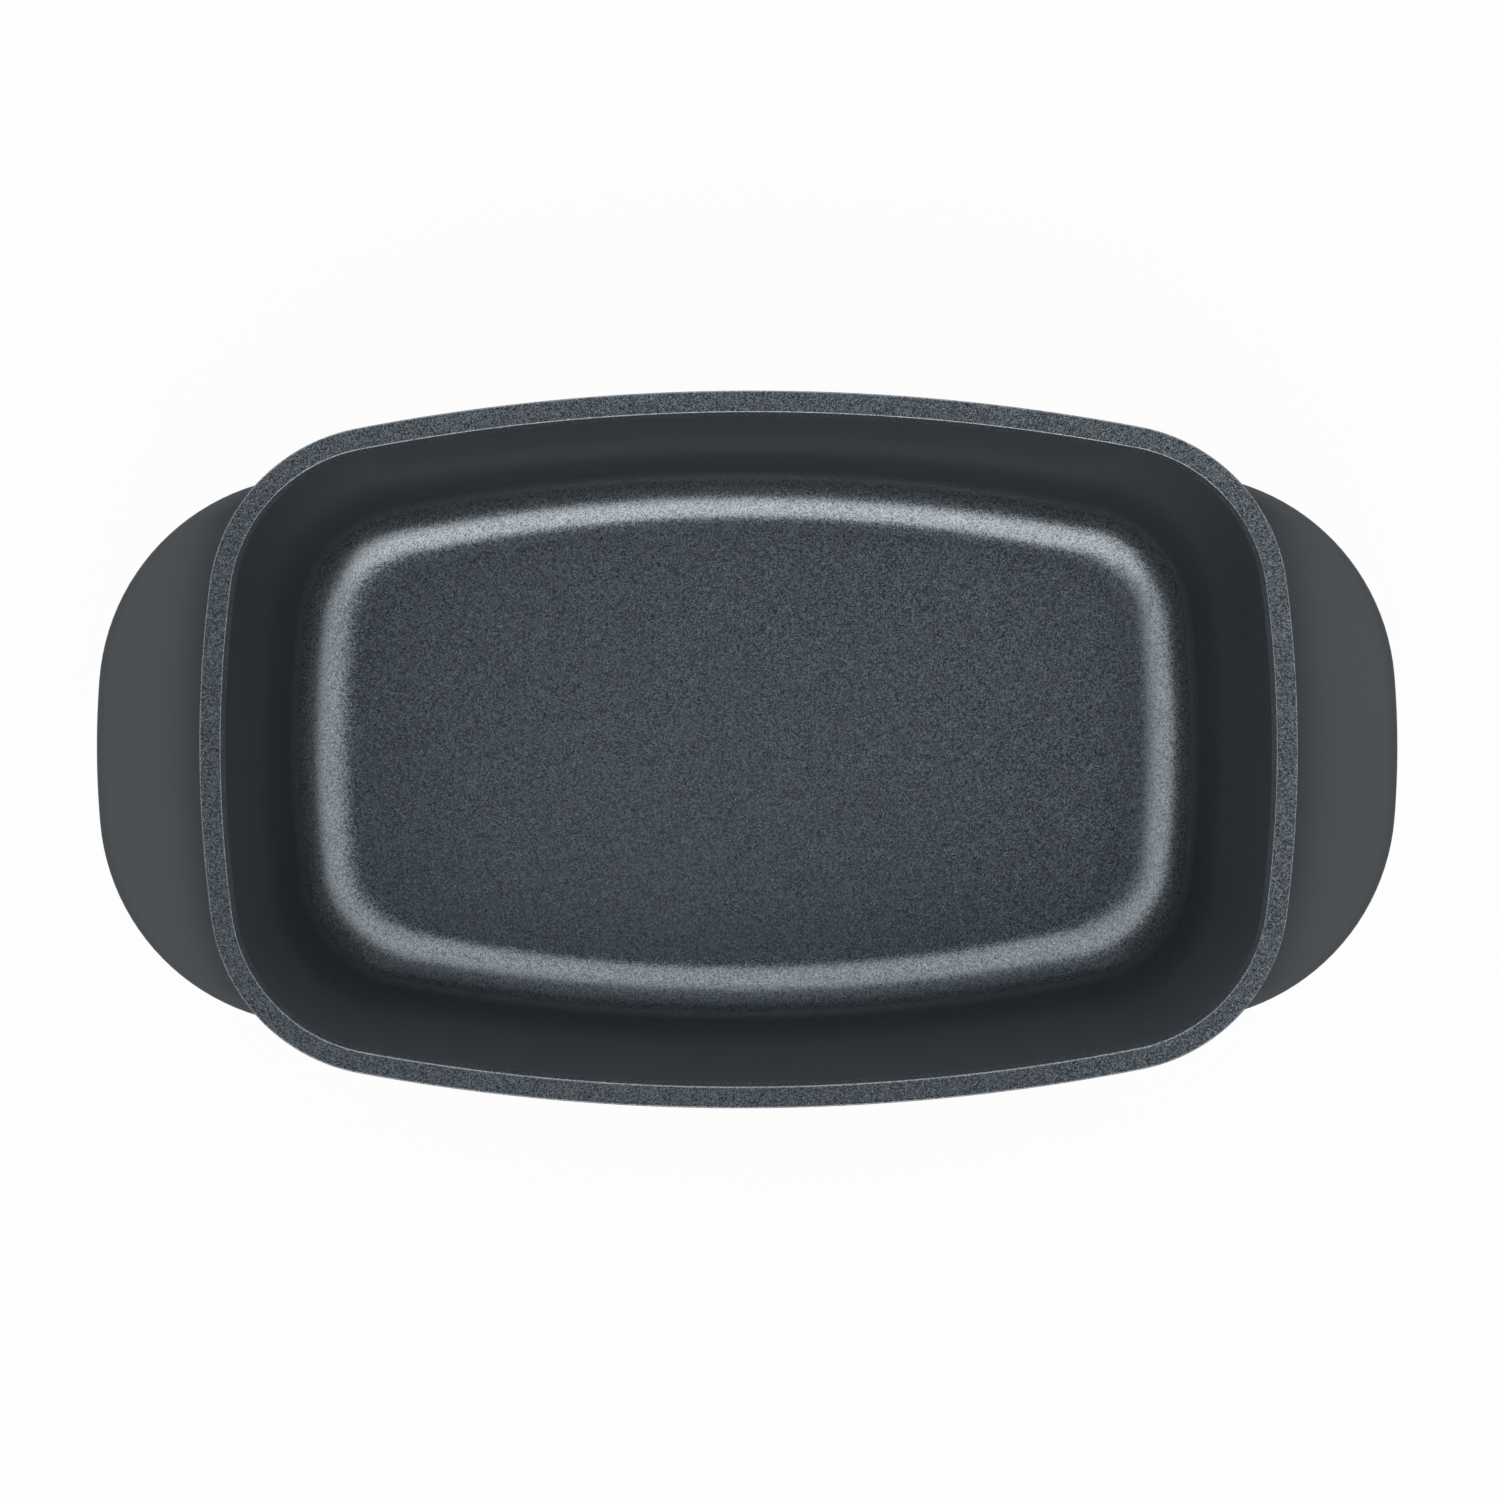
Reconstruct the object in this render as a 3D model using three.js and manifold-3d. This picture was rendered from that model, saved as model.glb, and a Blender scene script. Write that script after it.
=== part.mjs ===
// Roasting pan: a deep aluminium casting with a non-stick coat, a moulded wing grip screwed to a cast lug
// at each end, and a steel induction plate let into the base.
// Millimetres, +Z up, X along the pan. The origin is on the standing plane, under the middle of the pan.

import * as THREE from "three";
import { mergeVertices } from "three/addons/utils/BufferGeometryUtils.js";
import Module from "manifold-3d";

const wasm = await Module();
wasm.setup();

// Rim outline from above: two long and two short bowed sides, with a round corner between each pair
const RIM_LENGTH = 343.6;
const RIM_WIDTH = 224.4;
const LONG_SIDE_RADIUS = 654;
const SHORT_SIDE_RADIUS = 401;
const RIM_CORNER_RADIUS = 57;

// Floor outline: its sides are more bowed and its corners rounder than a rim moved in evenly would have
const FLOOR_LONG_RADIUS = 515;
const FLOOR_SHORT_RADIUS = 360;
const FLOOR_CORNER_RADIUS = 28;

// Section through the casting
const PAN_HEIGHT = 100;
const RIM_LAND = 6.7; // width of the flat rim
const RIM_BAND = 6; // height of the rim's outer face
const RIM_EDGE_RADIUS = 0.8;
const LIP_STEP = 1.2; // bevel just inside the rim, its width and its depth below the rim
const LIP_DEPTH = 2.5;
const WALL = 4;
const WALL_DRAFT = THREE.MathUtils.degToRad(10);
const FLOOR = 6;
const COVE_RADIUS = 20; // inside, from floor to wall
const HEEL_RADIUS = 26; // outside, from wall to base

// Induction plate, held by cast studs that fill its holes
const FOOT_RING = 6; // width of the casting's own standing ring around the plate
const PLATE_THICKNESS = 1;
const STUD_RADIUS = 3.5;
const STUD_PITCH = 24;
const STUD_TO_EDGE = 6; // least width of plate between a hole and the plate's edge

// Wing grips, seen from above and in section
const GRIP_REACH = 33.9; // from the end of the rim to the grip's tip
const GRIP_WIDTH = 173.4;
const GRIP_END_RADIUS = 281;
const GRIP_CORNER_RADIUS = 69.7;
const GRIP_DROP = 12; // from the rim down to the grip's flat top
const GRIP_TOP_ROUND = 4.5; // the edge, from the top down: a round, a straight side and a round
const GRIP_SIDE = 3.5;
const GRIP_LOW_ROUND = 5;
const GRIP_BEVEL = 14; // width of the sloping underside, from the edge in to the flat
const GRIP_COVER = 3.5; // grip above the lug

// Cast lugs inside the grips
const LUG_INSET = 11; // from the grip's edge to the lug's
const LUG_THICKNESS = 6;

// Button-head screws and their washers, put in from below
const SCREW_SPACING = 70;
const SCREW_FROM_TIP = 23;
const SCREW_RADIUS = 2.5;
const SCREW_CHAMFER = 0.5;
const HEAD_RADIUS = 4.75;
const HEAD_HEIGHT = 2.7;
const HEAD_RIM = 0.6; // straight edge of the head, below its dome
const HEAD_RECESS = 0.5; // from the grip's underside up to the head
const SOCKET_ACROSS_FLATS = 3;
const SOCKET_DEPTH = 1.6;
const WASHER_RADIUS = 5;
const WASHER_THICKNESS = 1;
const SCREW_LIP = 3.6; // grip held between the washer and the lug

// Clearances
const FIT_GAP = 0.3; // sideways, and between grip and casting
const SEAT_GAP = 0.15; // under screw heads and washers
const COUNTERBORE_GAP = 0.5; // around the washer and the head

// Steps along each kind of arc
const LONG_STEPS = 8;
const SHORT_STEPS = 6;
const CORNER_STEPS = 8;
const ROUND_STEPS = 4;
const COVE_STEPS = 6;
const HOLE_SIDES = 16;
const STUD_SIDES = 10;
const HEX_SIDES = 6;
const LEAST_CORNER_RADIUS = 0.5;
const CUT_MARGIN = 1; // how far a cutting tool runs past the face that it opens

// Heights and places that follow from the sizes above
const lipInset = RIM_LAND + LIP_STEP;
const gripTop = PAN_HEIGHT - GRIP_DROP;
const lugTop = gripTop - GRIP_COVER - FIT_GAP;
const lugBottom = lugTop - LUG_THICKNESS;
const washerTop = lugBottom - FIT_GAP - SCREW_LIP - SEAT_GAP;
const headTop = washerTop - WASHER_THICKNESS - SEAT_GAP;
const gripBottom = headTop - HEAD_HEIGHT - HEAD_RECESS;
const gripTip = RIM_LENGTH / 2 + GRIP_REACH;
const screwX = gripTip - SCREW_FROM_TIP;

// The left-hand end is the right-hand one after a half turn, which swaps its back and its front
const SIDES = [
  { name: "right", turn: 0, back: 1 },
  { name: "left", turn: Math.PI, back: -1 },
];
const SCREW_PLACES = [
  { name: "back", y: SCREW_SPACING / 2 },
  { name: "front", y: -SCREW_SPACING / 2 },
];

const coatedCasting = new THREE.MeshStandardMaterial({ color: 0x43474c, roughness: 0.4, metalness: 0.4 });
const mattGrip = new THREE.MeshStandardMaterial({ color: 0x474c4e, roughness: 0.65, metalness: 0 });
const plateSteel = new THREE.MeshStandardMaterial({ color: 0xa6a8aa, roughness: 0.35, metalness: 1 });
const screwSteel = new THREE.MeshStandardMaterial({ color: 0xb8babc, roughness: 0.25, metalness: 1 });

// A closed geometry as a solid that can be joined and cut
function solidFrom(geometry) {
  const bare = geometry.clone();
  bare.deleteAttribute("normal");
  bare.deleteAttribute("uv");
  const merged = mergeVertices(bare);
  const corners = merged.index.array;
  const triangles = [];
  for (let i = 0; i < corners.length; i += 3) {
    const [a, b, c] = [corners[i], corners[i + 1], corners[i + 2]];
    if (a !== b && b !== c && c !== a) triangles.push(a, b, c);
  }
  const mesh = new wasm.Mesh({
    numProp: 3,
    vertProperties: merged.attributes.position.array,
    triVerts: new Uint32Array(triangles),
  });
  return new wasm.Manifold(mesh);
}

function geometryFrom(solid) {
  const mesh = solid.getMesh();
  const geometry = new THREE.BufferGeometry();
  geometry.setAttribute("position", new THREE.BufferAttribute(mesh.vertProperties, 3));
  geometry.setIndex(new THREE.BufferAttribute(mesh.triVerts, 1));
  geometry.computeVertexNormals();
  return geometry;
}

function namedMesh(name, solid, material) {
  const mesh = new THREE.Mesh(geometryFrom(solid), material);
  mesh.name = name;
  return mesh;
}

// The points of an arc, apart from its last one, which the next arc starts with
function arcPoints(x, y, radius, from, to, steps) {
  return new THREE.ArcCurve(x, y, radius, from, to, false).getPoints(steps).slice(0, -1);
}

// Where two circles meet, on the right of the way from the first centre to the second
function circlesMeet(first, firstRadius, second, secondRadius) {
  const way = second.clone().sub(first);
  const apart = way.length();
  way.normalize();
  const along = (firstRadius ** 2 - secondRadius ** 2 + apart ** 2) / (2 * apart);
  const aside = Math.sqrt(firstRadius ** 2 - along ** 2);
  return new THREE.Vector2(
    first.x + along * way.x + aside * way.y,
    first.y + along * way.y - aside * way.x,
  );
}

// The rim outline moved in by an inset, anticlockwise from the right-hand end. It moves in evenly as far as
// the lip, and from there its radii go over to those of the floor.
function panOutline(inset) {
  const even = Math.min(inset, lipInset);
  const toFloor = (Math.max(inset, lipInset) - lipInset) / (coveInset - lipInset);
  const radiusBetween = (rimRadius, floorRadius) => THREE.MathUtils.lerp(rimRadius - even, floorRadius, toFloor);
  const longRadius = radiusBetween(LONG_SIDE_RADIUS, FLOOR_LONG_RADIUS);
  const shortRadius = radiusBetween(SHORT_SIDE_RADIUS, FLOOR_SHORT_RADIUS);
  const cornerRadius = Math.max(radiusBetween(RIM_CORNER_RADIUS, FLOOR_CORNER_RADIUS), LEAST_CORNER_RADIUS);
  const longCentre = new THREE.Vector2(0, RIM_WIDTH / 2 - inset - longRadius);
  const shortCentre = new THREE.Vector2(RIM_LENGTH / 2 - inset - shortRadius, 0);
  const corner = circlesMeet(longCentre, longRadius - cornerRadius, shortCentre, shortRadius - cornerRadius);
  const shortTurn = Math.atan2(corner.y - shortCentre.y, corner.x - shortCentre.x);
  const longTurn = Math.atan2(corner.y - longCentre.y, corner.x - longCentre.x);
  const half = [
    ...arcPoints(shortCentre.x, 0, shortRadius, -shortTurn, shortTurn, SHORT_STEPS),
    ...arcPoints(corner.x, corner.y, cornerRadius, shortTurn, longTurn, CORNER_STEPS),
    ...arcPoints(0, longCentre.y, longRadius, longTurn, Math.PI - longTurn, LONG_STEPS),
    ...arcPoints(-corner.x, corner.y, cornerRadius, Math.PI - longTurn, Math.PI - shortTurn, CORNER_STEPS),
  ];
  return [...half, ...half.map((point) => point.clone().negate())];
}

// The right-hand grip's outline moved in by an inset. Its straight root lies inside the casting.
function gripOutline(inset) {
  const endCentreX = gripTip - GRIP_END_RADIUS;
  const fullCornerRadius = Math.min(GRIP_CORNER_RADIUS, GRIP_WIDTH / 2 - LEAST_CORNER_RADIUS);
  const cornerY = GRIP_WIDTH / 2 - fullCornerRadius;
  const cornerX = endCentreX + Math.sqrt((GRIP_END_RADIUS - fullCornerRadius) ** 2 - cornerY ** 2);
  const cornerRadius = fullCornerRadius - inset;
  const turn = Math.atan2(cornerY, cornerX - endCentreX);
  return [
    ...arcPoints(cornerX, -cornerY, cornerRadius, -Math.PI / 2, -turn, CORNER_STEPS),
    ...arcPoints(endCentreX, 0, GRIP_END_RADIUS - inset, -turn, turn, SHORT_STEPS),
    ...new THREE.ArcCurve(cornerX, cornerY, cornerRadius, turn, Math.PI / 2, false).getPoints(CORNER_STEPS),
  ];
}

// A solid whose edge follows a profile of (inset, height) points, from the rim of its top face down to the
// rim of its underside, around an outline
function profiledSolid(outlineAt, profile) {
  const rings = profile.map((point) => outlineAt(point.x).map((p) => new THREE.Vector3(p.x, p.y, point.y)));
  const count = rings[0].length;
  const middleOf = (ring) => ring.reduce((sum, p) => sum.add(p), new THREE.Vector3()).divideScalar(count);
  const last = rings.length - 1;
  const points = [...rings.flat(), middleOf(rings[0]), middleOf(rings[last])];
  const topMiddle = rings.length * count;
  const triangles = [];
  for (let i = 0; i < count; i++) {
    const next = (i + 1) % count;
    triangles.push(topMiddle, i, next);
    for (let k = 0; k < last; k++) {
      const [upper, lower] = [k * count, (k + 1) * count];
      triangles.push(upper + next, upper + i, lower + i);
      triangles.push(upper + next, lower + i, lower + next);
    }
    triangles.push(topMiddle + 1, last * count + next, last * count + i);
  }
  const geometry = new THREE.BufferGeometry().setFromPoints(points).setIndex(triangles);
  return solidFrom(geometry);
}

// A quarter, or less, of a circle in a profile
function profileArc(inset, height, radius, from, to, steps) {
  const clockwise = to < from;
  return new THREE.ArcCurve(inset, height, radius, from, to, clockwise).getPoints(steps);
}

function uprightCylinder(x, y, radius, bottom, top, sides) {
  const geometry = new THREE.CylinderGeometry(radius, radius, top - bottom, sides);
  geometry.rotateX(Math.PI / 2);
  geometry.translate(x, y, (top + bottom) / 2);
  return solidFrom(geometry);
}

// A turned piece, from a profile of (radius, height) points
function turnedSolid(x, y, profile) {
  const geometry = new THREE.LatheGeometry(profile, HOLE_SIDES);
  geometry.rotateX(Math.PI / 2);
  geometry.translate(x, y, 0);
  return solidFrom(geometry);
}

// Inset of the drafted wall's inner and outer face at a height
function innerWallInset(height) {
  return lipInset + (PAN_HEIGHT - LIP_DEPTH - height) * Math.tan(WALL_DRAFT);
}

function outerWallInset(height) {
  return innerWallInset(height) - WALL / Math.cos(WALL_DRAFT);
}

// Inset of the middle of a round between the wall and a level face, given the round's radius
function roundMiddleInset(wallInset, level, radius) {
  const tangentHeight = level + radius * (1 - Math.sin(WALL_DRAFT));
  return wallInset(tangentHeight) + radius * Math.cos(WALL_DRAFT);
}

const coveInset = roundMiddleInset(innerWallInset, FLOOR, COVE_RADIUS);
const heelInset = roundMiddleInset(outerWallInset, 0, HEEL_RADIUS);
const plateInset = heelInset + FOOT_RING;

// The casting's outside without its lugs, grown by a gap. The rim's underside slopes back to the wall at
// 45 degrees.
function panOutside(gap) {
  const bandBottom = PAN_HEIGHT - RIM_BAND;
  const wallTop = bandBottom - outerWallInset(bandBottom);
  return profiledSolid(panOutline, [
    ...profileArc(
      RIM_EDGE_RADIUS - gap, PAN_HEIGHT - RIM_EDGE_RADIUS, RIM_EDGE_RADIUS, Math.PI / 2, Math.PI, ROUND_STEPS,
    ),
    new THREE.Vector2(-gap, bandBottom),
    new THREE.Vector2(outerWallInset(wallTop) - gap, wallTop),
    ...profileArc(heelInset - gap, HEEL_RADIUS, HEEL_RADIUS, Math.PI + WALL_DRAFT, Math.PI * 1.5, COVE_STEPS),
  ]);
}

// The space inside the pan, from above the rim down to the floor
function panInside() {
  const lipBottom = PAN_HEIGHT - LIP_DEPTH;
  const coveHeight = FLOOR + COVE_RADIUS;
  return profiledSolid(panOutline, [
    new THREE.Vector2(RIM_LAND - RIM_EDGE_RADIUS, PAN_HEIGHT + CUT_MARGIN),
    ...profileArc(
      RIM_LAND - RIM_EDGE_RADIUS, PAN_HEIGHT - RIM_EDGE_RADIUS, RIM_EDGE_RADIUS, Math.PI / 2, 0, ROUND_STEPS,
    ),
    new THREE.Vector2(innerWallInset(lipBottom), lipBottom),
    ...profileArc(coveInset, coveHeight, COVE_RADIUS, Math.PI + WALL_DRAFT, Math.PI * 1.5, COVE_STEPS),
  ]);
}

// A level slab of a grip's outline
function gripSlab(inset, top, bottom) {
  return profiledSolid(gripOutline, [new THREE.Vector2(inset, top), new THREE.Vector2(inset, bottom)]);
}

// A level slab of the pan's outline
function panSlab(inset, top, bottom) {
  return profiledSolid(panOutline, [new THREE.Vector2(inset, top), new THREE.Vector2(inset, bottom)]);
}

function isInside(x, y, outline) {
  let inside = false;
  outline.forEach((a, i) => {
    const b = outline[(i + 1) % outline.length];
    if (a.y > y !== b.y > y && x < a.x + ((y - a.y) * (b.x - a.x)) / (b.y - a.y)) inside = !inside;
  });
  return inside;
}

// Middles of the studs: staggered rows over the plate, clear of its edge
function studPlaces() {
  const edge = panOutline(plateInset + STUD_RADIUS + FIT_GAP + STUD_TO_EDGE);
  const rowPitch = STUD_PITCH * Math.sin(Math.PI / 3);
  const rows = Math.ceil(RIM_WIDTH / 2 / rowPitch);
  const columns = Math.ceil(RIM_LENGTH / 2 / STUD_PITCH);
  const places = [];
  for (let row = -rows; row <= rows; row++) {
    const shift = row % 2 === 0 ? 0 : STUD_PITCH / 2;
    for (let column = -columns; column <= columns; column++) {
      const place = new THREE.Vector2(column * STUD_PITCH + shift, row * rowPitch);
      if (isInside(place.x, place.y, edge)) places.push(place);
    }
  }
  return places;
}

// The right-hand lug, with its screw holes. Its root lies inside the casting.
function drilledLug() {
  let lug = gripSlab(LUG_INSET, lugTop, lugBottom);
  for (const place of SCREW_PLACES) {
    lug = lug.subtract(uprightCylinder(
      screwX, place.y, SCREW_RADIUS + FIT_GAP, lugBottom - CUT_MARGIN, lugTop + CUT_MARGIN, HOLE_SIDES,
    ));
  }
  return lug;
}

function panBody(studs) {
  const recessTop = PLATE_THICKNESS + SEAT_GAP;
  const lug = drilledLug();
  let body = panOutside(0);
  for (const side of SIDES) {
    body = body.add(lug.rotate([0, 0, THREE.MathUtils.radToDeg(side.turn)]));
  }
  body = body.subtract(panInside());
  body = body.subtract(panSlab(plateInset - FIT_GAP, recessTop, -CUT_MARGIN));
  for (const stud of studs) {
    body = body.add(uprightCylinder(stud.x, stud.y, STUD_RADIUS, 0, recessTop + CUT_MARGIN, STUD_SIDES));
  }
  return body;
}

function inductionPlate(studs) {
  let plate = panSlab(plateInset, PLATE_THICKNESS, 0);
  for (const stud of studs) {
    plate = plate.subtract(uprightCylinder(
      stud.x, stud.y, STUD_RADIUS + FIT_GAP, -CUT_MARGIN, PLATE_THICKNESS + CUT_MARGIN, STUD_SIDES,
    ));
  }
  return plate;
}

// The right-hand grip: a wing with a flat top, a round edge and a bevelled underside, hollowed for the lug
function wingGrip() {
  const sideTop = gripTop - GRIP_TOP_ROUND;
  const sideBottom = sideTop - GRIP_SIDE;
  const counterbore = Math.max(WASHER_RADIUS, HEAD_RADIUS) + COUNTERBORE_GAP;
  let grip = profiledSolid(gripOutline, [
    ...profileArc(GRIP_TOP_ROUND, sideTop, GRIP_TOP_ROUND, Math.PI / 2, Math.PI, ROUND_STEPS),
    ...profileArc(GRIP_LOW_ROUND, sideBottom, GRIP_LOW_ROUND, Math.PI, Math.PI * 1.5, ROUND_STEPS),
    new THREE.Vector2(GRIP_BEVEL, gripBottom),
  ]);
  grip = grip.subtract(panOutside(FIT_GAP));
  grip = grip.subtract(gripSlab(LUG_INSET - FIT_GAP, lugTop + FIT_GAP, lugBottom - FIT_GAP));
  for (const place of SCREW_PLACES) {
    grip = grip.subtract(uprightCylinder(
      screwX, place.y, SCREW_RADIUS + FIT_GAP, gripBottom - CUT_MARGIN, lugBottom, HOLE_SIDES,
    ));
    grip = grip.subtract(uprightCylinder(
      screwX, place.y, counterbore, gripBottom - CUT_MARGIN, washerTop + SEAT_GAP, HOLE_SIDES,
    ));
  }
  return grip;
}

function gripScrew(y) {
  const headBottom = headTop - HEAD_HEIGHT;
  const domeTop = headTop - HEAD_RIM;
  const dome = new THREE.EllipseCurve(0, domeTop, HEAD_RADIUS, domeTop - headBottom, -Math.PI / 2, 0);
  const screw = turnedSolid(screwX, y, [
    ...dome.getPoints(ROUND_STEPS),
    new THREE.Vector2(HEAD_RADIUS, headTop),
    new THREE.Vector2(SCREW_RADIUS, headTop),
    new THREE.Vector2(SCREW_RADIUS, lugTop - SCREW_CHAMFER),
    new THREE.Vector2(SCREW_RADIUS - SCREW_CHAMFER, lugTop),
    new THREE.Vector2(0, lugTop),
  ]);
  const socketRadius = SOCKET_ACROSS_FLATS / 2 / Math.cos(Math.PI / HEX_SIDES);
  const socketTop = headBottom + SOCKET_DEPTH;
  const socket = uprightCylinder(screwX, y, socketRadius, headBottom - CUT_MARGIN, socketTop, HEX_SIDES);
  return screw.subtract(socket);
}

function gripWasher(y) {
  const washerBottom = washerTop - WASHER_THICKNESS;
  const hole = SCREW_RADIUS + FIT_GAP;
  return turnedSolid(screwX, y, [
    new THREE.Vector2(hole, washerBottom),
    new THREE.Vector2(WASHER_RADIUS, washerBottom),
    new THREE.Vector2(WASHER_RADIUS, washerTop),
    new THREE.Vector2(hole, washerTop),
    new THREE.Vector2(hole, washerBottom),
  ]);
}

const pan = new THREE.Group();
const studs = studPlaces();
pan.add(namedMesh("pan_body", panBody(studs), coatedCasting));
pan.add(namedMesh("induction_plate", inductionPlate(studs), plateSteel));

for (const side of SIDES) {
  const end = new THREE.Group();
  end.rotation.z = side.turn;
  end.add(namedMesh(`${side.name}_grip`, wingGrip(), mattGrip));
  for (const place of SCREW_PLACES) {
    const y = place.y * side.back;
    end.add(namedMesh(`${side.name}_grip_screw_${place.name}`, gripScrew(y), screwSteel));
    end.add(namedMesh(`${side.name}_grip_washer_${place.name}`, gripWasher(y), screwSteel));
  }
  pan.add(end);
}

export default pan;
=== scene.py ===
"""The finished look of a cast roasting pan: fine meshes, finishes and a studio stage, as an add-on."""

from collections import namedtuple
from functools import partial
from math import atan, atan2, ceil, copysign, cos, pi, radians, sin, sqrt, tan

import bpy
from bpy.props import FloatProperty, FloatVectorProperty, PointerProperty
from bpy.types import Operator, Panel, PropertyGroup
from mathutils import Matrix, Vector


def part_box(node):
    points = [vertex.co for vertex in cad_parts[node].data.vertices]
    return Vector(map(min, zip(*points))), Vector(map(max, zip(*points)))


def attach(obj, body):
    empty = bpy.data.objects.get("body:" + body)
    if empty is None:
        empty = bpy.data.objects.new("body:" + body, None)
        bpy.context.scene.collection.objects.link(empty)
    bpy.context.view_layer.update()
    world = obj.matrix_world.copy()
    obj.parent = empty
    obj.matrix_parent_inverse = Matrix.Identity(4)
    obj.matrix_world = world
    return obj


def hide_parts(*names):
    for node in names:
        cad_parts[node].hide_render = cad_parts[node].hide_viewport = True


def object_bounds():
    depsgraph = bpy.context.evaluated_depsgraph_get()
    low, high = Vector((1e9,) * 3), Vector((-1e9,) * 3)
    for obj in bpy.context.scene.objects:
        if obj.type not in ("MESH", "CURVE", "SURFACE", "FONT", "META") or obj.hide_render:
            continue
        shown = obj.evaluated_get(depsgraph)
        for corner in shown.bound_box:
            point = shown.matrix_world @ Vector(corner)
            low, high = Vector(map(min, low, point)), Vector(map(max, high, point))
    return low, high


bl_info = {
    "name": "Roasting pan",
    "version": (1, 0, 0),
    "blender": (4, 5, 0),
    "location": "3D View > Sidebar > Roasting pan",
    "description": "Builds a cast roasting pan with wing grips, its finishes and a studio stage",
    "category": "Object",
}

MM = 0.001
BODY = "root"

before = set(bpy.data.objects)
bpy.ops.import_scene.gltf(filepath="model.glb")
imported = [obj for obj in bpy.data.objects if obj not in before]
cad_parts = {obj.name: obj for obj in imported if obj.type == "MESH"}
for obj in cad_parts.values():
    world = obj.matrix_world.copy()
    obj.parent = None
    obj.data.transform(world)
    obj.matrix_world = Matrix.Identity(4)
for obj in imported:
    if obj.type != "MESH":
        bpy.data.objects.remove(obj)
cad_low, cad_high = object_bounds()


# Properties

def number(name, description, value, **kind):
    return FloatProperty(name=name, description=description, default=value, **kind)


def numbers(name, description, value, **kind):
    return FloatVectorProperty(name=name, description=description, default=value, **kind)


metres = partial(number, unit="LENGTH")
lengths = partial(numbers, unit="LENGTH")
share = partial(number, min=0.0, max=1.0, subtype="FACTOR")
strength = partial(number, min=0.0, subtype="UNSIGNED")
colour = partial(numbers, min=0.0, max=1.0, subtype="COLOR")


def millimetres(name, description, value):
    """A length with its default given in millimetres."""
    return metres(name, description, value * MM)


def degrees(name, description, value):
    """An angle with its default given in degrees."""
    return number(name, description, radians(value), unit="ROTATION")


def group_of(kind, name):
    """A group of settings, described by its kind."""
    return PointerProperty(type=kind, name=name, description=kind.__doc__.rstrip("."))


class CastingSizes(PropertyGroup):
    """Sizes of the cast pan."""

    rim_length: millimetres("Rim length", "Outside length of the rim", 343.6)
    rim_width: metres("Rim width", "Outside width of the rim", cad_high.y - cad_low.y)
    long_side_radius: millimetres("Long side radius", "Bow of the two long sides", 654)
    short_side_radius: millimetres("Short side radius", "Bow of the two short sides", 401)
    corner_radius: millimetres("Corner radius", "Round corners of the rim, from above", 57)
    floor_long_radius: millimetres("Floor long radius", "Bow of the floor's two long sides", 515)
    floor_short_radius: millimetres("Floor short radius", "Bow of the floor's two short sides", 360)
    floor_corner_radius: millimetres("Floor corner radius", "Round corners of the floor, from above", 28)
    height: metres("Height", "From the standing plane to the rim", cad_high.z)
    rim_land: millimetres("Rim land", "Width of the flat rim", 6.7)
    rim_band: millimetres("Rim band", "Height of the rim's outer face", 6)
    edge_radius: millimetres("Edge radius", "Round on the rim's outer edges and below the lip", 0.45)
    lip_round: millimetres("Lip round", "Round on the rim's inner edge", 0.7)
    lip_step: millimetres("Lip step", "Width of the bevel inside the rim", 1.2)
    lip_depth: millimetres("Lip depth", "Depth of the bevel inside the rim", 2.5)
    wall: millimetres("Wall", "Thickness of the wall", 4)
    draft: degrees("Draft", "Slope of the wall", 10)
    floor: millimetres("Floor", "Height of the floor inside", 6)
    cove_radius: millimetres("Cove radius", "Round from the floor to the wall, inside", 20)
    end_run_out: millimetres("End run-out", "How much further the cove runs out at the two ends", 5)
    heel_radius: millimetres("Heel radius", "Round from the wall to the base, outside", 26)
    under_rim_radius: millimetres("Under-rim radius", "Hollow round below the rim, outside", 4)
    foot_ring: millimetres("Foot ring", "Width of the standing ring around the plate", 6)


class GripSizes(PropertyGroup):
    """Sizes of the wing grips and of the cast lugs inside them."""

    tip: metres("Tip", "From the pan's middle to a grip's tip", cad_high.x)
    width: millimetres("Width", "Width of a grip across the pan", 173.4)
    end_radius: millimetres("End radius", "Bow of a grip's end", 281)
    corner_radius: millimetres("Corner radius", "Round corners of a grip, from above", 69.7)
    top: metres("Top", "Height of a grip's flat top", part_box("right_grip")[1].z)
    bottom: metres("Bottom", "Height of a grip's underside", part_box("right_grip")[0].z)
    top_round: millimetres("Top round", "Round on the upper edge", 4.5)
    side: millimetres("Side", "Straight side between the two rounds", 3.5)
    low_round: millimetres("Low round", "Round on the lower edge", 5)
    bevel: millimetres("Bevel", "Width of the sloping underside", 14)
    bevel_round: millimetres("Bevel round", "Round from the slope to the flat underside", 9)
    cover: millimetres("Cover", "Grip above the lug", 3.5)
    lug_inset: millimetres("Lug inset", "From a grip's edge to the lug inside", 11)
    lug_thickness: millimetres("Lug thickness", "Thickness of the cast lug", 6)
    fit_gap: millimetres("Fit gap", "Gap between a grip and the casting", 0.3)
    cut_round: millimetres("Cut round", "Round on the edges of a grip's cuts", 0.3)


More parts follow.
